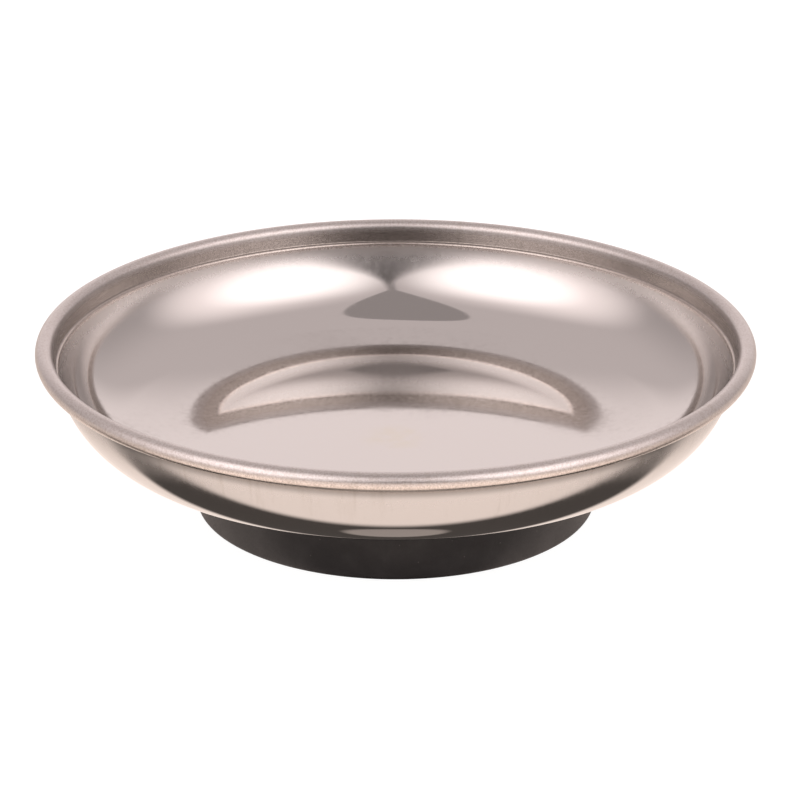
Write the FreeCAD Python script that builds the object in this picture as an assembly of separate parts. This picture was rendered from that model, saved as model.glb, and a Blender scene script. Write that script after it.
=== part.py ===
import FreeCAD, Part
import math
import os

# Magnetic parts dish: a pressed stainless steel dish on a rubber-covered ring magnet.
# Millimetres. Z is up along the dish's axis, and Z = 0 is the face that rests on the bench.

# ---- driving dimensions ----
RIM_D = 150.0            # over the rolled rim
HEIGHT = 37.0            # bench to the top of the rim
SHEET = 0.5              # stainless sheet thickness
BEAD_D = 3.6             # diameter of the rolled rim
BEAD_END_DEG = -128.0    # where the curl stops, underneath and facing inwards

FLOOR_R = 40.0           # flat mirror floor
FLOOR_Z = 13.65          # top face of the floor
# the wall rises from the floor in four arcs, each tangent to the one before:
# the radius of the inner face, and the slope at its end in degrees
WALL_ARCS = ((47.8, 6.0), (55.5, 12.8), (84.7, 17.0), (18.14, 84.5))
SHOULDER = 0.60          # narrow shoulder over the wall, under the neck
SHOULDER_SLOPE = 25.0

BASE_D = 84.4            # rubber cover
COVER_SIDE = 2.2         # cover wall thickness
COVER_TOP = 1.15         # the cover's inward lip, gripped between magnet and dish
COVER_LIP_R = 35.5       # inner edge of that lip
COVER_FLOOR = 4.0        # cover floor thickness under the magnet
COVER_EDGE = 1.0         # rounding of the cover's bottom edge
COVER_TOP_EDGE = 0.4     # rounding of the cover's top edge
GRIP_DEPTH = 0.6         # depth of the ring grooves in the underside
GRIP_WIDTH = 2.0
GRIP_PITCH = 4.5
GRIP_FIRST_R = 11.0
GRIP_COUNT = 6

MAGNET_BORE_R = 16.0
MAGNET_CLEARANCE = 0.1   # between magnet and cover wall
MAGNET_CHAMFER = 0.5

PAD_R = 34.5             # foam pad between magnet and dish
PAD_HOLE_R = 5.5

CUP_SHEET = 1.6          # steel clamp cup
CUP_R = 15.6             # its pot, inside the magnet's bore
CUP_FLANGE_R = 24.5
CUP_RECESS_R = 25.0      # recess for the flange in the cover's floor
CUP_TOP_Z = 11.2
CUP_BEND = 0.8           # bend radius at the pot's top edge

STUD_R = 2.5             # M5
STUD_PITCH = 0.8
STUD_ROOT_R = 2.02
STUD_HOLE_R = 2.75
STUD_FLANGE_R = 4.0
STUD_FLANGE = 1.0
STUD_END_Z = 2.9

WASHER = 1.0
WASHER_R = 6.0
SPRING_WASHER = 1.2
SPRING_WASHER_R = 4.4
SPRING_SPLIT = 1.2
NUT_FLATS = 8.0
NUT_HEIGHT = 4.0

# ---- worked out from the above ----
AXIS = FreeCAD.Vector(0, 0, 1)
ORIGIN = FreeCAD.Vector(0, 0, 0)
RIM_R = RIM_D / 2
BASE_R = BASE_D / 2
BEAD_R = BEAD_D / 2
BEAD_CENTRE_R = RIM_R - BEAD_R
BEAD_CENTRE_Z = HEIGHT - BEAD_R
DISH_UNDER_Z = FLOOR_Z - SHEET
MAGNET_R = BASE_R - COVER_SIDE - MAGNET_CLEARANCE
MAGNET_TOP_Z = DISH_UNDER_Z - COVER_TOP
WASHER_TOP_Z = CUP_TOP_Z - CUP_SHEET
SPRING_TOP_Z = WASHER_TOP_Z - WASHER
NUT_TOP_Z = SPRING_TOP_Z - SPRING_WASHER


def at(r, z):
    """A point of a half section, in the XZ plane."""
    return FreeCAD.Vector(r, 0, z)


def line(a, b):
    return Part.LineSegment(a, b).toShape()


def arc(a, mid, b):
    return Part.Arc(a, mid, b).toShape()


def revolve(edges):
    """The solid of revolution about Z of a closed half section."""
    face = Part.Face(Part.Wire(edges))
    return face.revolve(ORIGIN, AXIS, 360)


def polygon(points):
    """Straight edges through the points and back to the first."""
    return [line(p, points[(i + 1) % len(points)]) for i, p in enumerate(points)]


def ring(inner_r, outer_r, low_z, high_z):
    """A plain ring or, with no inner radius, a disc."""
    disc = Part.makeCylinder(outer_r, high_z - low_z, at(0, low_z))
    if inner_r == 0:
        return disc
    return disc.cut(Part.makeCylinder(inner_r, high_z - low_z, at(0, low_z)))


def polar(centre, radius, degrees):
    """A point on a circle in the section, from its centre and angle."""
    a = math.radians(degrees)
    return at(centre.x + radius * math.cos(a), centre.z + radius * math.sin(a))


def angle_of(centre, p):
    return math.degrees(math.atan2(p.z - centre.z, p.x - centre.x))


def arc_about(centre, a, b, sweep_through):
    """An arc about a centre from a to b, passing the angle given in degrees."""
    radius = a.distanceToPoint(centre)
    return arc(a, polar(centre, radius, sweep_through), b)


def turn(centre, radius, degrees):
    """Arcs about a centre, one after another, between the angles given."""
    arcs = []
    for start, end in zip(degrees, degrees[1:]):
        middle = (start + end) / 2
        arcs.append(arc(
            polar(centre, radius, start),
            polar(centre, radius, middle),
            polar(centre, radius, end),
        ))
    return arcs


def lines_meet(p, p_slope, q, q_slope):
    """Where two lines in the section cross, each given by a point and a slope in degrees."""
    px = math.cos(math.radians(p_slope))
    pz = math.sin(math.radians(p_slope))
    qx = math.cos(math.radians(q_slope))
    qz = math.sin(math.radians(q_slope))
    along = ((q.x - p.x) * qz - (q.z - p.z) * qx) / (px * qz - pz * qx)
    return at(p.x + along * px, p.z + along * pz)


def dish():
    """Pressed sheet: flat floor, round wall, narrow shoulder, neck and an open rolled rim."""
    upper = [line(at(0, FLOOR_Z), at(FLOOR_R, FLOOR_Z))]
    lower = [line(at(FLOOR_R, DISH_UNDER_Z), at(0, DISH_UNDER_Z))]
    top = at(FLOOR_R, FLOOR_Z)
    under = at(FLOOR_R, DISH_UNDER_Z)
    slope = 0.0
    for radius, end_slope in WALL_ARCS:
        centre = polar(top, radius, slope + 90)
        middle = (slope + end_slope) / 2 - 90
        next_top = polar(centre, radius, end_slope - 90)
        next_under = polar(centre, radius + SHEET, end_slope - 90)
        upper.append(arc_about(centre, top, next_top, middle))
        lower.insert(0, arc_about(centre, next_under, under, middle))
        top = next_top
        under = next_under
        slope = end_slope

    # shoulder, and a neck that is tangent to the outside of the rolled rim
    shoulder = polar(top, SHOULDER, SHOULDER_SLOPE)
    bead = at(BEAD_CENTRE_R, BEAD_CENTRE_Z)
    lean = math.degrees(math.asin(BEAD_R / shoulder.distanceToPoint(bead)))
    neck_slope = angle_of(shoulder, bead) + lean
    around = [neck_slope + 90, 90, 0, -90, BEAD_END_DEG]
    inner_r = BEAD_R - SHEET
    inner_start = polar(bead, inner_r, neck_slope + 90)

    # the same corners on the lower face
    shoulder_line = polar(shoulder, SHEET, SHOULDER_SLOPE - 90)
    under_shoulder = lines_meet(shoulder_line, SHOULDER_SLOPE, inner_start, neck_slope)
    under_top = lines_meet(shoulder_line, SHOULDER_SLOPE, under, slope)

    edges = upper + [
        line(top, shoulder),
        line(shoulder, polar(bead, BEAD_R, neck_slope + 90)),
    ] + turn(bead, BEAD_R, around) + [
        line(polar(bead, BEAD_R, BEAD_END_DEG), polar(bead, inner_r, BEAD_END_DEG)),
    ] + turn(bead, inner_r, around[::-1]) + [
        line(inner_start, under_shoulder),
        line(under_shoulder, under_top),
        line(under_top, under),
    ] + lower + [line(at(0, DISH_UNDER_Z), at(0, FLOOR_Z))]
    return revolve(edges)


def weld_stud():
    """M5 stud, spot welded by its flange under the dish's floor; the thread is drawn as rings."""
    flange_z = DISH_UNDER_Z - STUD_FLANGE
    flat = STUD_PITCH / 4
    depth = STUD_R - STUD_ROOT_R
    points = [at(0, DISH_UNDER_Z), at(STUD_FLANGE_R, DISH_UNDER_Z), at(STUD_FLANGE_R, flange_z)]
    points += [at(STUD_R, flange_z)]
    turns = int((flange_z - STUD_END_Z - depth) / STUD_PITCH)
    for i in range(turns):
        top = flange_z - i * STUD_PITCH - flat
        points.append(at(STUD_R, top))
        points.append(at(STUD_ROOT_R, top - 1.5 * flat))
        points.append(at(STUD_R, top - 3 * flat))
    points += [at(STUD_R, STUD_END_Z + depth), at(STUD_ROOT_R, STUD_END_Z), at(0, STUD_END_Z)]
    return revolve(polygon(points))


def foam_pad():
    """Closed-cell foam disc that keeps the brittle magnet off the dish."""
    return ring(PAD_HOLE_R, PAD_R, MAGNET_TOP_Z, DISH_UNDER_Z)


def ring_magnet():
    """Ferrite ring magnet, magnetised through its thickness."""
    magnet = ring(MAGNET_BORE_R, MAGNET_R, COVER_FLOOR, MAGNET_TOP_Z)
    return magnet.makeChamfer(MAGNET_CHAMFER, round_edges(magnet))


def round_edges(solid):
    """The circular edges of a ring or cup, without the seams."""
    return [e for e in solid.Edges if e.Curve.TypeId == "Part::GeomCircle"]


def clamp_cup():
    """Pressed steel hat: the flange holds the magnet up, the pot takes the nut inside the bore."""
    floor_z = COVER_FLOOR - CUP_SHEET
    outer_turn = at(CUP_R - CUP_BEND, CUP_TOP_Z - CUP_BEND)
    edges = [
        line(at(STUD_HOLE_R, CUP_TOP_Z), at(outer_turn.x, CUP_TOP_Z)),
        arc_about(outer_turn, at(outer_turn.x, CUP_TOP_Z), at(CUP_R, outer_turn.z), 45),
    ]
    edges += polygon([
        at(CUP_R, outer_turn.z),
        at(CUP_R, COVER_FLOOR),
        at(CUP_FLANGE_R, COVER_FLOOR),
        at(CUP_FLANGE_R, floor_z),
        at(CUP_R - CUP_SHEET, floor_z),
        at(CUP_R - CUP_SHEET, WASHER_TOP_Z),
        at(STUD_HOLE_R, WASHER_TOP_Z),
        at(STUD_HOLE_R, CUP_TOP_Z),
    ])[:-1]
    return revolve(edges)


def flat_washer():
    return ring(STUD_HOLE_R, WASHER_R, SPRING_TOP_Z, WASHER_TOP_Z)


def spring_washer():
    """Split washer, tightened flat."""
    washer = ring(STUD_HOLE_R, SPRING_WASHER_R, NUT_TOP_Z, SPRING_TOP_Z)
    reach = 2 * SPRING_WASHER_R
    split = Part.makeBox(reach, SPRING_SPLIT, reach, FreeCAD.Vector(0, -SPRING_SPLIT / 2, -reach / 2))
    split.rotate(ORIGIN, FreeCAD.Vector(1, 0, 0), 30)
    split.translate(FreeCAD.Vector(0, 0, (NUT_TOP_Z + SPRING_TOP_Z) / 2))
    return washer.cut(split)


def hex_nut():
    """M5 nut with chamfered corners."""
    corner_r = NUT_FLATS / math.sqrt(3)
    low_z = NUT_TOP_Z - NUT_HEIGHT
    corners = [
        FreeCAD.Vector(
            corner_r * math.cos(math.radians(60 * i)), corner_r * math.sin(math.radians(60 * i)), low_z)
        for i in range(6)
    ]
    hexagon = Part.Face(Part.makePolygon(corners + corners[:1]))
    body = hexagon.extrude(FreeCAD.Vector(0, 0, NUT_HEIGHT))
    bevel = corner_r - NUT_FLATS / 2
    drum = polygon([
        at(0, low_z),
        at(NUT_FLATS / 2, low_z),
        at(corner_r, low_z + bevel / 2),
        at(corner_r, NUT_TOP_Z - bevel / 2),
        at(NUT_FLATS / 2, NUT_TOP_Z),
        at(0, NUT_TOP_Z),
    ])
    return body.common(revolve(drum)).cut(Part.makeCylinder(STUD_R, NUT_HEIGHT, at(0, low_z)))


def base_cover():
    """Moulded rubber cover: floor with ring grooves, side wall, and a lip over the magnet's edge."""
    edge = COVER_EDGE
    top = COVER_TOP_EDGE
    low_turn = at(BASE_R - edge, edge)
    top_turn = at(BASE_R - top, DISH_UNDER_Z - top)
    cavity_r = BASE_R - COVER_SIDE
    recess_z = COVER_FLOOR - CUP_SHEET
    outline = [
        line(at(0, 0), at(low_turn.x, 0)),
        arc_about(low_turn, at(low_turn.x, 0), at(BASE_R, edge), -45),
        line(at(BASE_R, edge), at(BASE_R, top_turn.z)),
        arc_about(top_turn, at(BASE_R, top_turn.z), at(top_turn.x, DISH_UNDER_Z), 45),
    ]
    outline += polygon([
        at(top_turn.x, DISH_UNDER_Z),
        at(COVER_LIP_R, DISH_UNDER_Z),
        at(COVER_LIP_R, MAGNET_TOP_Z),
        at(cavity_r, MAGNET_TOP_Z),
        at(cavity_r, COVER_FLOOR),
        at(CUP_RECESS_R, COVER_FLOOR),
        at(CUP_RECESS_R, recess_z),
        at(0, recess_z),
        at(0, 0),
    ])[:-1]
    cover = revolve(outline)
    for i in range(GRIP_COUNT):
        cover = cover.cut(grip_groove(GRIP_FIRST_R + i * GRIP_PITCH))
    return cover


def grip_groove(radius):
    """One ring groove in the underside, narrower at its bottom."""
    half = GRIP_WIDTH / 2
    draft = GRIP_DEPTH / 2
    return revolve(polygon([
        at(radius - half, 0),
        at(radius + half, 0),
        at(radius + half - draft, GRIP_DEPTH),
        at(radius - half + draft, GRIP_DEPTH),
    ]))


NODES = {
    "dish": dish,
    "weld_stud": weld_stud,
    "foam_pad": foam_pad,
    "ring_magnet": ring_magnet,
    "clamp_cup": clamp_cup,
    "flat_washer": flat_washer,
    "spring_washer": spring_washer,
    "hex_nut": hex_nut,
    "base_cover": base_cover,
}

os.makedirs("parts", exist_ok=True)
for node, make in NODES.items():
    shape = make()
    shape.exportStep(os.path.join("parts", node + ".step"))
    print(node, "valid", shape.isValid(), "solids", len(shape.Solids), "volume", round(shape.Volume, 1))
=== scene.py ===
import math

import bmesh
import bpy
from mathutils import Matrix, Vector


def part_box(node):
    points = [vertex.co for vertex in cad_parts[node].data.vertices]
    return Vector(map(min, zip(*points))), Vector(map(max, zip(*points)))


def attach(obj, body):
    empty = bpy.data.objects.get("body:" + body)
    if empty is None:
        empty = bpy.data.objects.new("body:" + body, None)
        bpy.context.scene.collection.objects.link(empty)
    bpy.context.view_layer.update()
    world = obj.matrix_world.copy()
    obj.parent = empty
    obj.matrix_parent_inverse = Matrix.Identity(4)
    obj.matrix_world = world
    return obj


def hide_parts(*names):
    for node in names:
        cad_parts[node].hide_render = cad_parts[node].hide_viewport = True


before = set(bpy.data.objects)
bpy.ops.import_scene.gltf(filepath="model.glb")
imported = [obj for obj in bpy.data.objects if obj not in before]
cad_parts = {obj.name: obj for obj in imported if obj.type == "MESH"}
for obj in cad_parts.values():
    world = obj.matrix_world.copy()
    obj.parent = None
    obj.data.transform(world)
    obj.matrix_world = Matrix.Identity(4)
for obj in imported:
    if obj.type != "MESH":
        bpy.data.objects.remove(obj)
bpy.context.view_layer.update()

# Magnetic parts dish: polished stainless dish with a rolled satin rim on a black rubber base.
# Everything is in metres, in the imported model's frame: Z is up, and Z = 0 is the bench.

MM = 0.001
BODY = "root"

# ---- sizes, in millimetres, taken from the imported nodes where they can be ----
dish_low, dish_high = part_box("dish")
base_low, base_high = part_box("base_cover")
RIM_R = round(max(dish_high[0], dish_high[1]) / MM, 1)
HEIGHT = round(dish_high[2] / MM, 2)
UNDER_Z = round(dish_low[2] / MM, 2)
BASE_R = round(max(base_high[0], base_high[1]) / MM, 1)

SHEET = 0.5
HALF_SHEET = SHEET / 2
BEAD_R = 1.8
BEAD_END_DEG = -128.0
FLOOR_R = 40.0
# the wall rises from the floor in four arcs, each tangent to the one before: radius of the
# upper face, and the slope at its end
WALL_ARCS = ((47.8, 6.0), (55.5, 12.8), (84.7, 17.0), (18.14, 84.5))
SHOULDER = 0.60              # narrow shoulder over the wall, below the neck
SHOULDER_SLOPE = 25.0
SHOULDER_ROUND = 0.2         # how far back from its two creases the sheet starts to turn
NECK_ROUND = 0.3
ROUND_TURN = 720             # segments round the dish
ARC_STEP = 0.15              # longest step along the wall's arcs

COVER_SIDE = 2.2             # wall of the rubber cover
COVER_LIP_R = 35.5           # inner edge of its lip
MAGNET_TOP_Z = 12.0          # the lip's underside
COVER_FLOOR = 4.0            # its floor, under the magnet
RECESS_R = 25.0              # recess in the floor for the clamp cup's flange
RECESS_FLOOR = 2.4
GRIP_DEPTH = 0.6             # ring grooves in the underside
GRIP_FIRST_R = 11.0
GRIP_PITCH = 4.5
GRIP_COUNT = 6
GRIP_HALF = 1.0              # half width at the mouth
GRIP_HALF_DEEP = 0.7         # half width at the bottom


# ---------------------------------------------------------------- mesh helpers

def arc_points(centre, radius, start_deg, end_deg, count):
    """Points along an arc in a half section, both ends included."""
    points = []
    for i in range(count + 1):
        a = math.radians(start_deg + (end_deg - start_deg) * i / count)
        points.append((centre[0] + radius * math.cos(a), centre[1] + radius * math.sin(a)))
    return points


def line_points(a, b, count):
    """Points along a straight line, both ends included."""
    points = []
    for i in range(count + 1):
        points.append((a[0] + (b[0] - a[0]) * i / count, a[1] + (b[1] - a[1]) * i / count))
    return points


def corner_point(a, corner, b, t):
    """A point on the curve that leaves a towards the corner and comes to b from it."""
    return tuple(
        (1 - t) ** 2 * p + 2 * t * (1 - t) * c + t * t * q for p, c, q in zip(a, corner, b))


def trim(points, cut, at_end):
    """The points without the stretch of that length at one end; the cut point is added."""
    points = list(reversed(points)) if at_end else list(points)
    left = cut
    while len(points) > 2:
        step = math.dist(points[0], points[1])
        if step > left:
            break
        left -= step
        points.pop(0)
    f = left / math.dist(points[0], points[1])
    points[0] = tuple(p + (q - p) * f for p, q in zip(points[0], points[1]))
    return list(reversed(points)) if at_end else points


def join_rounded(first, second, cut, count=10):
    """Joins two runs that meet at a crease, rounded over the length cut on each side of it."""
    corner = second[0]
    first = trim(first, cut, True)
    second = trim(second, cut, False)
    turn = [corner_point(first[-1], corner, second[0], i / count) for i in range(1, count)]
    return first + turn + second


def offset(points, distance):
    """The run moved sideways to its left by the distance."""
    moved = []
    for i, p in enumerate(points):
        before = points[max(i - 1, 0)]
        after = points[min(i + 1, len(points) - 1)]
        dx = after[0] - before[0]
        dz = after[1] - before[1]
        size = math.hypot(dx, dz)
        moved.append((p[0] - dz / size * distance, p[1] + dx / size * distance))
    return moved


def lathe(name, profile, segments):
    """A closed solid of revolution: the profile starts and ends on the axis."""
    bm = bmesh.new()
    rings = []
    for r, z in profile:
        if r < 1e-6:
            rings.append([bm.verts.new((0, 0, z * MM))])
            continue
        ring = []
        for i in range(segments):
            a = 2 * math.pi * i / segments
            ring.append(bm.verts.new((r * MM * math.cos(a), r * MM * math.sin(a), z * MM)))
        rings.append(ring)
    for low, high in zip(rings, rings[1:]):
        for i in range(segments):
            j = (i + 1) % segments
            face = []
            for v in (low[i % len(low)], low[j % len(low)], high[j % len(high)], high[i % len(high)]):
                if v not in face:
                    face.append(v)
            bm.faces.new(face)
    bmesh.ops.recalc_face_normals(bm, faces=bm.faces)
    mesh = bpy.data.meshes.new(name)
    bm.to_mesh(mesh)
    bm.free()
    mesh.shade_smooth()
    piece = bpy.data.objects.new(name, mesh)
    bpy.context.scene.collection.objects.link(piece)
    return piece


def dress(piece, node, material):
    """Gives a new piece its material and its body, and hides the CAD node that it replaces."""
    piece.data.materials.append(material)
    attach(piece, BODY)
    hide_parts(node)


# ---------------------------------------------------------------- node helpers

class Graph:
    """Short names for the shader nodes that the materials are built from."""

    def __init__(self, tree):
        self.tree = tree
        tree.nodes.clear()

    def node(self, kind, **settings):
        n = self.tree.nodes.new(kind)
        for key, value in settings.items():
            setattr(n, key, value)
        return n

    def feed(self, socket, value):
        if isinstance(value, bpy.types.NodeSocket):
            self.tree.links.new(value, socket)
        else:
            socket.default_value = value

    def math(self, operation, a, b=0.0):
        n = self.node("ShaderNodeMath", operation=operation)
        for socket, value in zip(n.inputs, (a, b)):
            self.feed(socket, value)
        return n.outputs[0]

    def add(self, a, b):
        return self.math("ADD", a, b)

    def sub(self, a, b):
        return self.math("SUBTRACT", a, b)

    def mul(self, a, b):
        return self.math("MULTIPLY", a, b)

    def smooth(self, value, low, high, out_low=0.0, out_high=1.0):
        """Goes smoothly from out_low to out_high as value goes from low to high."""
        n = self.node("ShaderNodeMapRange", interpolation_type="SMOOTHSTEP")
        for key, v in (("Value", value), ("From Min", low), ("From Max", high),
                       ("To Min", out_low), ("To Max", out_high)):
            self.feed(n.inputs[key], v)
        return n.outputs["Result"]

    def combine(self, x, y, z):
        n = self.node("ShaderNodeCombineXYZ")
        for socket, value in zip(n.inputs, (x, y, z)):
            self.feed(socket, value)
        return n.outputs[0]

    def split(self, vector):
        n = self.node("ShaderNodeSeparateXYZ")
        self.feed(n.inputs[0], vector)
        return n.outputs[0], n.outputs[1], n.outputs[2]

    def facing(self, side, y, z, azimuth, elevation):
        """1 towards a direction and its mirror image across the middle, less with the angle."""
        az = math.radians(azimuth)
        el = math.radians(elevation)
        level = self.add(self.mul(side, math.sin(az) * math.cos(el)),
                         self.mul(y, math.cos(az) * math.cos(el)))
        return self.add(level, self.mul(z, math.sin(el)))

    def clamp(self, value):
        return self.math("MINIMUM", self.math("MAXIMUM", value, 0.0), 1.0)

    def noise(self, vector, scale, detail=3.0, rough=0.5):
        n = self.node("ShaderNodeTexNoise")
        self.feed(n.inputs["Vector"], vector)
        n.inputs["Scale"].default_value = scale
        n.inputs["Detail"].default_value = detail
        n.inputs["Roughness"].default_value = rough
        return n.outputs["Fac"]

    def cells(self, vector, scale):
        n = self.node("ShaderNodeTexVoronoi", feature="F1")
        self.feed(n.inputs["Vector"], vector)
        n.inputs["Scale"].default_value = scale
        return n.outputs["Distance"]

    def mix(self, factor, a, b):
        n = self.node("ShaderNodeMix", data_type="RGBA")
        self.feed(n.inputs[0], factor)
        self.feed(n.inputs[6], a)
        self.feed(n.inputs[7], b)
        return n.outputs[2]

    def bump(self, height, strength, distance, normal=None):
        n = self.node("ShaderNodeBump")
        n.inputs["Strength"].default_value = strength
        n.inputs["Distance"].default_value = distance
        self.feed(n.inputs["Height"], height)
        if normal is not None:
            self.feed(n.inputs["Normal"], normal)
        return n.outputs["Normal"]


def new_material(name):
    material = bpy.data.materials.new(name)
    material.use_nodes = True
    g = Graph(material.node_tree)
    shader = g.node("ShaderNodeBsdfPrincipled")
    out = g.node("ShaderNodeOutputMaterial")
    g.tree.links.new(shader.outputs["BSDF"], out.inputs["Surface"])
    return material, g, shader


def object_point(g):
    """Object coordinates in millimetres."""
    point = g.node("ShaderNodeTexCoord").outputs["Object"]
    n = g.node("ShaderNodeVectorMath", operation="SCALE")
    g.feed(n.inputs[0], point)
    n.inputs["Scale"].default_value = 1 / MM
    return n.outputs[0]


def round_coordinates(g):
    """z, the radius from the axis, and the angle round it."""
    x, y, z = g.split(object_point(g))
    radius = g.math("SQRT", g.add(g.mul(x, x), g.mul(y, y)))
    return z, radius, g.math("ARCTAN2", y, x)


# ---------------------------------------------------------------- materials

STEEL = (0.60, 0.575, 0.56, 1)
STEEL_RIM = (0.62, 0.585, 0.57, 1)
# the satin neck's colour, made paler as painted light
STEEL_NECK_PAINTED_LIGHT = (0.86, 0.77, 0.71, 1)
STEEL_SPECK = (0.36, 0.29, 0.26, 1)
STEEL_STREAK = (0.36, 0.32, 0.26, 1)
STEEL_TINT = (0.60, 0.56, 0.47, 1)
# painted shade: the dark laid into the groove under the rim, the curl and the shoulder
PAINTED_RIM_SHADE_DARK = (0.03, 0.028, 0.025, 1)
HAZE_Z = (23.0, 31.0)        # heights over which the dish goes from polished to hazy,
SATIN_Z = (31.0, 32.6)       # from hazy to satin,
RIM_Z = (34.2, 35.8)         # and from the neck's satin to the rolled rim's


def painted_rim_shade(g, z, radius, outside):
    """Painted shade in the groove under the rim, inside the curl and along the shoulder."""
    under_rim = g.mul(g.smooth(radius, 71.8, 72.4), g.smooth(z, 34.9, 33.4, 0.0, 0.6))
    groove = g.mul(g.mul(outside, g.smooth(radius, 71.8, 71.2)), g.smooth(z, 30.0, 32.2, 0.0, 0.62))
    shoulder = g.mul(g.smooth(z, 31.7, 32.2), g.smooth(z, 32.9, 32.5, 0.0, 0.4))
    return g.math("MAXIMUM", g.math("MAXIMUM", groove, under_rim), shoulder)


def stainless():
    """Polished inside and out, satin on the neck and the rolled rim, with draw lines and light wear."""
    material, g, shader = new_material("stainless_polished")
    z, radius, angle = round_coordinates(g)
    point = object_point(g)

    satin = g.smooth(z, *SATIN_Z)
    polished = g.sub(1.0, satin)
    haze = g.smooth(z, *HAZE_Z)
    rim = g.smooth(z, *RIM_Z)
    turned = g.combine(g.mul(radius, 9.0), g.mul(z, 9.0), g.mul(angle, 9.0))
    turned_lines = g.noise(turned, 1.0, 5.0, 0.65)
    grain = g.noise(point, 2.6, 5.0, 0.75)
    polish = g.noise(point, 0.8, 4.0, 0.6)
    cloud = g.noise(point, 0.05, 3.0, 0.5)

    # roughness: nearly a mirror on the floor and low on the wall, hazier towards the neck, then satin
    bright = g.smooth(polish, 0.35, 0.8, 0.035, 0.085)
    bright = g.add(bright, g.smooth(cloud, 0.4, 0.75, 0.0, 0.03))
    bright = g.add(bright, g.mul(haze, 0.24))
    dull = g.add(g.smooth(turned_lines, 0.3, 0.7, 0.18, 0.27), g.mul(rim, 0.12))
    g.feed(shader.inputs["Roughness"], g.add(g.mul(bright, polished), g.mul(dull, satin)))

    # colour: the neck made paler, painted light that makes up for the dark its satin reflects, and the
    # rim's own shade, with brown specks on both
    colour = g.mix(satin, STEEL, g.mix(rim, STEEL_NECK_PAINTED_LIGHT, STEEL_RIM))
    speck = g.mul(g.smooth(grain, 0.42, 0.62), satin)
    colour = g.mix(g.mul(speck, 0.45), colour, STEEL_SPECK)

    # outside: faint streaks running down from the groove under the rim, then painted shade in that
    # groove, inside the curl and along the shoulder
    (wall_r, wall_z), wall_radius = wall_arcs()[-1][:2]
    out_by = g.sub(radius, wall_r)
    up_by = g.sub(z, wall_z)
    from_centre = g.math("SQRT", g.add(g.mul(out_by, out_by), g.mul(up_by, up_by)))
    outside = g.smooth(from_centre, wall_radius - 0.1, wall_radius + 0.1)
    outside = g.mul(outside, g.smooth(radius, 57.0, 60.0))
    streaks = g.noise(g.combine(g.mul(angle, 26.0), g.mul(z, 0.05), 0.0), 1.0, 4.0, 0.7)
    streaks = g.mul(g.mul(g.smooth(streaks, 0.5, 0.8, 0.0, 0.3), outside), g.smooth(z, 20.0, 31.0))
    colour = g.mix(streaks, colour, STEEL_STREAK)
    colour = g.mix(painted_rim_shade(g, z, radius, outside), colour, PAINTED_RIM_SHADE_DARK)

    # a faint heat tint over the spot weld
    tint = g.smooth(g.noise(point, 0.25, 3.0), 0.35, 0.7, 0.0, 0.5)
    colour = g.mix(g.mul(g.smooth(radius, 9.0, 3.0), tint), colour, STEEL_TINT)
    g.feed(shader.inputs["Base Color"], colour)

    # relief: turning lines and grain where it is satin, draw lines under the shoulder, faint waves
    draw = g.noise(g.combine(g.mul(angle, 70.0), g.mul(z, 0.12), 0.0), 1.0, 3.0, 0.7)
    draw = g.mul(g.smooth(draw, 0.5, 0.8), g.mul(g.smooth(z, 26.5, 31.0), polished))
    satin_relief = g.mul(g.add(turned_lines, g.mul(grain, 0.5)), satin)
    normal = g.bump(satin_relief, 1.0, 0.016 * MM)
    normal = g.bump(draw, 1.0, 0.006 * MM, normal)
    normal = g.bump(g.noise(point, 0.07, 1.0), 1.0, 0.012 * MM, normal)
    g.feed(shader.inputs["Normal"], normal)
    shader.inputs["Metallic"].default_value = 1.0
    return material


RUBBER_LOW = (0.022, 0.020, 0.020, 1)
RUBBER_HIGH = (0.036, 0.033, 0.033, 1)
RUBBER_SCUFF = (0.06, 0.056, 0.055, 1)
RUBBER_DUST = (0.22, 0.20, 0.19, 1)


def black_rubber():
    """Moulded rubber with a fine grain, paler scuffs and a few specks of dust."""
    material, g, shader = new_material("black_rubber")
    point = object_point(g)
    grain = g.noise(point, 4.0, 4.0, 0.65)
    cloud = g.noise(point, 0.12, 3.0, 0.6)
    dust = g.smooth(g.cells(point, 0.35), 0.06, 0.03)
    colour = g.mix(g.smooth(cloud, 0.35, 0.75), RUBBER_LOW, RUBBER_HIGH)
    colour = g.mix(g.smooth(grain, 0.62, 0.8, 0.0, 0.5), colour, RUBBER_SCUFF)
    colour = g.mix(g.mul(dust, 0.35), colour, RUBBER_DUST)
    g.feed(shader.inputs["Base Color"], colour)
    g.feed(shader.inputs["Roughness"], g.smooth(grain, 0.3, 0.7, 0.5, 0.66))
    g.feed(shader.inputs["Normal"], g.bump(grain, 0.6, 0.03 * MM))
    return material


def plain_metal(name, low, high, rough, grain_scale, relief):
    """A metal with mottled colour and a fine surface grain."""
    material, g, shader = new_material(name)
    point = object_point(g)
    cloud = g.noise(point, 0.35, 4.0, 0.6)
    grain = g.noise(point, grain_scale, 3.0, 0.6)
    g.feed(shader.inputs["Base Color"], g.mix(g.smooth(cloud, 0.3, 0.7), low, high))
    g.feed(shader.inputs["Roughness"], g.smooth(grain, 0.3, 0.7, rough - 0.06, rough + 0.08))
    g.feed(shader.inputs["Normal"], g.bump(grain, 0.7, relief * MM))
    shader.inputs["Metallic"].default_value = 1.0
    return material


def dull_solid(name, low, high, rough, grain_scale, relief):
    """Foam or sintered ferrite: matt, with pits."""
    material, g, shader = new_material(name)
    point = object_point(g)
    pits = g.cells(point, grain_scale)
    cloud = g.noise(point, 0.2, 4.0, 0.6)
    colour = g.mix(g.smooth(g.add(cloud, g.mul(pits, 0.3)), 0.4, 0.85), low, high)
    g.feed(shader.inputs["Base Color"], colour)
    g.feed(shader.inputs["Roughness"], g.smooth(cloud, 0.3, 0.7, rough - 0.06, rough + 0.06))
    g.feed(shader.inputs["Normal"], g.bump(pits, 0.7, relief * MM))
    return material


# ---------------------------------------------------------------- pieces

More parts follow.
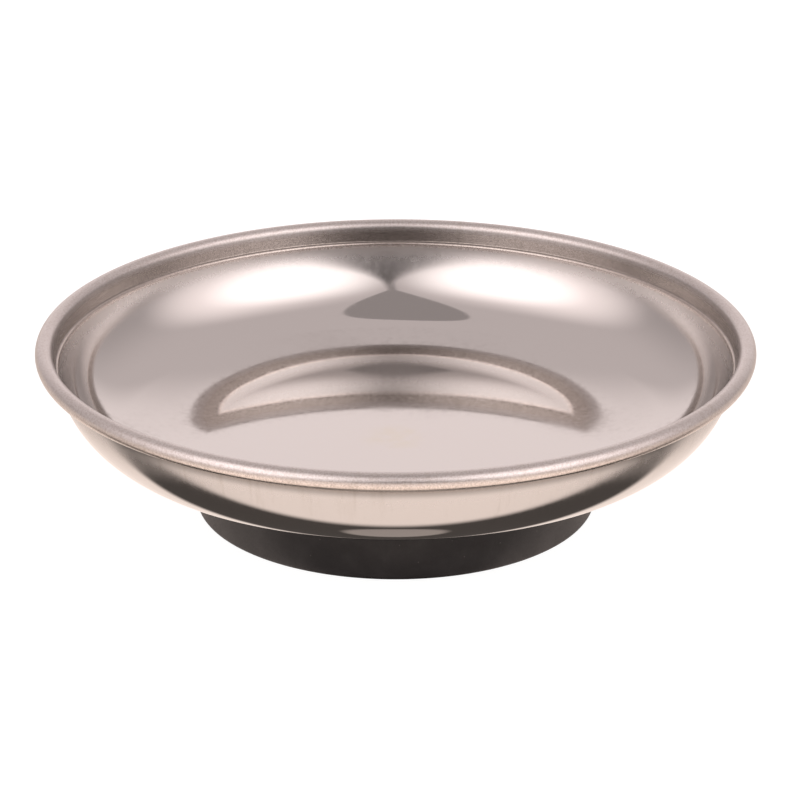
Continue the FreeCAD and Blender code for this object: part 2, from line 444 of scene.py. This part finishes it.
def wall_arcs():
    """The wall's arcs along the middle of the sheet: centre, radius, and the slope at each end."""
    arcs = []
    r = FLOOR_R
    z = UNDER_Z + HALF_SHEET
    slope = 0.0
    for upper_radius, end_slope in WALL_ARCS:
        radius = upper_radius + HALF_SHEET
        centre = (r - radius * math.sin(math.radians(slope)), z + radius * math.cos(math.radians(slope)))
        arcs.append((centre, radius, slope, end_slope))
        r = centre[0] + radius * math.sin(math.radians(end_slope))
        z = centre[1] - radius * math.cos(math.radians(end_slope))
        slope = end_slope
    return arcs


def dish_profile():
    """Half section of the pressed sheet: upper face out to the curl's end, lower face back."""
    floor_z = UNDER_Z + HALF_SHEET
    middle = line_points((0, floor_z), (FLOOR_R, floor_z), 24)
    for centre, radius, start, end in wall_arcs():
        count = max(12, round(radius * math.radians(end - start) / ARC_STEP))
        middle += arc_points(centre, radius, start - 90, end - 90, count)[1:]

    wall_top = middle[-1]
    lean = math.radians(SHOULDER_SLOPE)
    shoulder = (wall_top[0] + SHOULDER * math.cos(lean), wall_top[1] + SHOULDER * math.sin(lean))
    bead = (RIM_R - BEAD_R, HEIGHT - BEAD_R)
    bead_mid = BEAD_R - HALF_SHEET
    toward_bead = math.atan2(bead[1] - shoulder[1], bead[0] - shoulder[0])
    neck_slope = toward_bead + math.asin(bead_mid / math.dist(shoulder, bead))
    curl = arc_points(bead, bead_mid, math.degrees(neck_slope) + 90, BEAD_END_DEG, 72)

    middle = join_rounded(middle, line_points(wall_top, shoulder, 8), SHOULDER_ROUND)
    middle = join_rounded(middle, line_points(shoulder, curl[0], 16), NECK_ROUND)
    middle = middle + curl[1:]

    upper = offset(middle, HALF_SHEET)
    lower = offset(middle, -HALF_SHEET)
    end = middle[-1]
    end_deg = math.degrees(math.atan2(upper[-1][1] - end[1], upper[-1][0] - end[0]))
    cap = arc_points(end, HALF_SHEET, end_deg, end_deg - 180, 8)[1:-1]
    upper[0] = (0, upper[0][1])
    lower[0] = (0, lower[0][1])
    return upper + cap + list(reversed(lower))


def make_dish():
    piece = lathe("dish_pressing", dish_profile(), ROUND_TURN)
    dress(piece, "dish", stainless())


def rounded_outline(corners, radii, count=6):
    """A profile through the corners, each rounded where its radius isn't 0."""
    points = []
    for i, corner in enumerate(corners):
        r = radii[i]
        if r == 0:
            points.append(corner)
            continue
        before = corners[i - 1]
        after = corners[i + 1]
        a = [c + (b - c) * r / math.dist(corner, before) for c, b in zip(corner, before)]
        b = [c + (d - c) * r / math.dist(corner, after) for c, d in zip(corner, after)]
        points += [corner_point(a, corner, b, k / count) for k in range(count + 1)]
    return points


def cover_profile():
    """Half section of the rubber cover: underside with its ring grooves, outside, lip and cavity."""
    cavity_r = BASE_R - COVER_SIDE
    corners = [(0, 0)]
    radii = [0]
    for i in range(GRIP_COUNT):
        r = GRIP_FIRST_R + i * GRIP_PITCH
        corners += [(r - GRIP_HALF, 0), (r - GRIP_HALF_DEEP, GRIP_DEPTH)]
        corners += [(r + GRIP_HALF_DEEP, GRIP_DEPTH), (r + GRIP_HALF, 0)]
        radii += [0.15, 0.2, 0.2, 0.15]
    corners += [(BASE_R, 0), (BASE_R, UNDER_Z), (COVER_LIP_R, UNDER_Z)]
    radii += [1.0, 0.5, 0.2]
    corners += [(COVER_LIP_R, MAGNET_TOP_Z), (cavity_r, MAGNET_TOP_Z), (cavity_r, COVER_FLOOR)]
    radii += [0.2, 0, 0]
    corners += [(RECESS_R, COVER_FLOOR), (RECESS_R, RECESS_FLOOR), (0, RECESS_FLOOR)]
    radii += [0, 0, 0]
    return rounded_outline(corners, radii)


def make_cover():
    piece = lathe("rubber_cover", cover_profile(), 360)
    dress(piece, "base_cover", black_rubber())


def dress_inner_nodes():
    """The parts sealed in the base keep their CAD shape and get finished surfaces."""
    zinc = plain_metal(
        "zinc_plate", (0.50, 0.53, 0.56, 1), (0.70, 0.72, 0.72, 1), 0.3, 3.0, 0.01)
    stud = plain_metal(
        "weld_stud_steel", (0.55, 0.40, 0.30, 1), (0.62, 0.56, 0.50, 1), 0.35, 4.0, 0.01)
    foam = dull_solid(
        "closed_cell_foam", (0.02, 0.02, 0.02, 1), (0.07, 0.07, 0.07, 1), 0.85, 2.5, 0.1)
    ferrite = dull_solid(
        "sintered_ferrite", (0.05, 0.05, 0.055, 1), (0.11, 0.11, 0.12, 1), 0.6, 1.5, 0.04)
    wanted = {
        "weld_stud": stud,
        "foam_pad": foam,
        "ring_magnet": ferrite,
        "clamp_cup": zinc,
        "flat_washer": zinc,
        "spring_washer": zinc,
        "hex_nut": zinc,
    }
    for node, material in wanted.items():
        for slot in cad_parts[node].material_slots:
            slot.material = material


# ---------------------------------------------------------------- studio

TENT_TINT = (1.0, 0.887, 0.873)      # the fabric's slightly warm white
PAPER_TINT = (1.0, 0.875, 0.80)      # the paper's, as the dish reflects it
EXPOSURE = 1.18
BENCH_HALF = 2.5                     # metres
UNDER_BENCH = -0.0002                # metres
BAND_FRONT = -67.0                   # the dark band on the lower paper: its two edges,
BAND_BACK = -40.0
BAND_BOW = 0.0020                    # and how they bend back towards the sides
GLEAM_Y = -57.0                      # the paler ellipse in the band, a painted pool of light: its middle and half sizes
GLEAM_HALF = (14, 7)
OPENING_LEVEL = 0.36                 # brightness seen through the opening and the gap
GAP_LEVEL = 0.14


def bench_plane(name, z):
    mesh = bpy.data.meshes.new(name)
    corners = [(BENCH_HALF * x, BENCH_HALF * y, z) for x, y in ((-1, -1), (1, -1), (1, 1), (-1, 1))]
    mesh.from_pydata(corners, [], [(0, 1, 2, 3)])
    bench = bpy.data.objects.new(name, mesh)
    bpy.context.scene.collection.objects.link(bench)
    material, g, shader = new_material(name + "_paper")
    shader.inputs["Roughness"].default_value = 0.9
    shader.inputs["Specular IOR Level"].default_value = 0.0
    mesh.materials.append(material)
    return bench, g, shader


def make_floor():
    """White paper in two layers. The camera sees the upper one, even and without a shadow. Only
    reflections see the lower one. A dark band is drawn across it, in front of the base; it stands
    in for a shade there and isn't cast by anything. The paler ellipse in the band is a painted
    pool of light, and the paper is painted darker towards the sides."""
    seen, g, shader = bench_plane("bench", 0)
    shader.inputs["Base Color"].default_value = (0.2, 0.2, 0.2, 1)
    shader.inputs["Emission Color"].default_value = (1, 1, 1, 1)
    shader.inputs["Emission Strength"].default_value = 0.93
    for ray in ("diffuse", "glossy", "transmission", "shadow"):
        setattr(seen, "visible_" + ray, False)

    shaded, g, shader = bench_plane("bench_shade", UNDER_BENCH)
    shaded.visible_camera = False
    x, y = g.split(object_point(g))[:2]
    bow = g.mul(g.mul(x, x), BAND_BOW)
    front = g.add(bow, BAND_FRONT)
    back = g.add(bow, BAND_BACK)
    band = g.mul(g.smooth(g.sub(y, front), -2.5, 3.0), g.smooth(g.sub(y, back), 4.0, -3.0))
    side = g.math("ABSOLUTE", x)
    depth = g.mul(g.smooth(side, 62.0, 80.0, 0.92, 0.8), g.smooth(side, 170.0, 100.0))
    gleam_x = g.mul(x, 1 / GLEAM_HALF[0])
    gleam_y = g.mul(g.add(y, -GLEAM_Y), 1 / GLEAM_HALF[1])
    gleam = g.smooth(g.add(g.mul(gleam_x, gleam_x), g.mul(gleam_y, gleam_y)), 1.0, 0.55)
    depth = g.sub(depth, g.mul(gleam, 0.3))
    light = g.mul(g.sub(1.0, g.mul(band, depth)), g.smooth(side, 60.0, 120.0, 1.0, 0.7))
    g.feed(shader.inputs["Base Color"], g.combine(*(g.mul(light, 0.3 * c) for c in PAPER_TINT)))
    g.feed(shader.inputs["Emission Color"], g.combine(*(g.mul(light, c) for c in PAPER_TINT)))
    shader.inputs["Emission Strength"].default_value = 0.95


def tent_opening(g, x, y, z):
    """How much of a direction is the tent's opening: round at the top, running to a slit in front."""
    up = g.math("MAXIMUM", z, 0.02)
    v = g.math("DIVIDE", y, up)
    u = g.math("ABSOLUTE", g.add(g.add(g.math("DIVIDE", x, up), 0.025), g.mul(v, 0.075)))
    back = g.clamp(g.math("DIVIDE", v, 0.37))
    back_width = g.math("SQRT", g.sub(1.0, g.mul(back, back)))
    front = g.clamp(g.math("DIVIDE", v, -0.68))
    front_width = g.math("COSINE", g.mul(front, math.pi / 2))
    width = g.sub(g.mul(g.mul(back_width, front_width), 0.2), 0.01)
    hole = g.smooth(g.sub(width, u), -0.006, 0.010)
    slit_width = g.smooth(v, -2.2, -0.4, 0.05, 0.008)
    slit = g.mul(g.smooth(g.sub(slit_width, u), -0.03, 0.0), g.smooth(v, 0.0, -0.3))
    return g.mul(g.math("MAXIMUM", hole, slit), g.smooth(z, 0.0, 0.1))


def camera_gap(g, x, y, z):
    """How much of a direction is the dark gap in front, which is wider towards the bench."""
    half_width = g.smooth(z, 0.80, 0.0, 0.06, 0.75)
    off_centre = g.math("ABSOLUTE", g.add(x, g.mul(y, 0.06)))
    ahead = g.math("MAXIMUM", g.mul(y, -1.0), 0.02)
    gap = g.smooth(g.math("DIVIDE", g.math("DIVIDE", off_centre, ahead), half_width), 1.0, 0.25)
    return g.mul(g.mul(gap, g.smooth(y, 0.0, -0.2)), g.smooth(z, 0.85, 0.62))


def make_light_tent():
    """The world is a white fabric light tent: two lamps shine on it from the front left and front
    right, it has an opening at the top, and a dark gap in front where the camera looks in."""
    world = bpy.data.worlds.new("light_tent")
    bpy.context.scene.world = world
    world.use_nodes = True
    g = Graph(world.node_tree)
    x, y, z = g.split(g.node("ShaderNodeTexCoord").outputs["Generated"])
    side = g.math("ABSOLUTE", x)

    level = g.smooth(y, 0.76, 0.93, 0.645, 0.98)
    level = g.sub(level, g.mul(g.smooth(side, 0.45, 0.95, 0.0, 0.2), g.smooth(z, 0.9, 0.0)))
    lamp = g.smooth(g.facing(side, y, z, 127, 26), math.cos(math.radians(50)), 1.0, 0.0, 0.8)
    level = g.add(level, lamp)
    core = g.smooth(g.facing(side, y, z, 139, 33), math.cos(math.radians(35)), 1.0, 0.0, 0.55)

    opening = tent_opening(g, x, y, z)
    gap = camera_gap(g, x, y, z)
    level = g.add(g.mul(level, g.sub(1.0, opening)), g.mul(opening, OPENING_LEVEL))
    level = g.add(g.mul(level, g.sub(1.0, gap)), g.mul(gap, GAP_LEVEL))
    core = g.mul(g.mul(core, g.sub(1.0, opening)), g.sub(1.0, gap))
    warm = (g.mul(g.add(g.mul(level, channel), core), EXPOSURE) for channel in TENT_TINT)
    background = g.node("ShaderNodeBackground")
    g.feed(background.inputs["Color"], g.combine(*warm))
    out = g.node("ShaderNodeOutputWorld")
    g.tree.links.new(background.outputs[0], out.inputs["Surface"])
    bpy.context.scene.view_settings.view_transform = "Standard"


def make_camera():
    distance = 0.700
    pitch = math.radians(22.106)
    look_at = Vector((0.0009, 0, 0.02212))
    data = bpy.data.cameras.new("camera")
    data.sensor_width = 36
    data.lens = 149.73
    data.clip_start = 0.01
    camera = bpy.data.objects.new("camera", data)
    camera.location = look_at + Vector((0, -distance * math.cos(pitch), distance * math.sin(pitch)))
    camera.rotation_euler = (math.pi / 2 - pitch, 0, 0)
    bpy.context.scene.collection.objects.link(camera)
    bpy.context.scene.camera = camera


make_camera()
make_dish()
make_cover()
dress_inner_nodes()
make_floor()
make_light_tent()
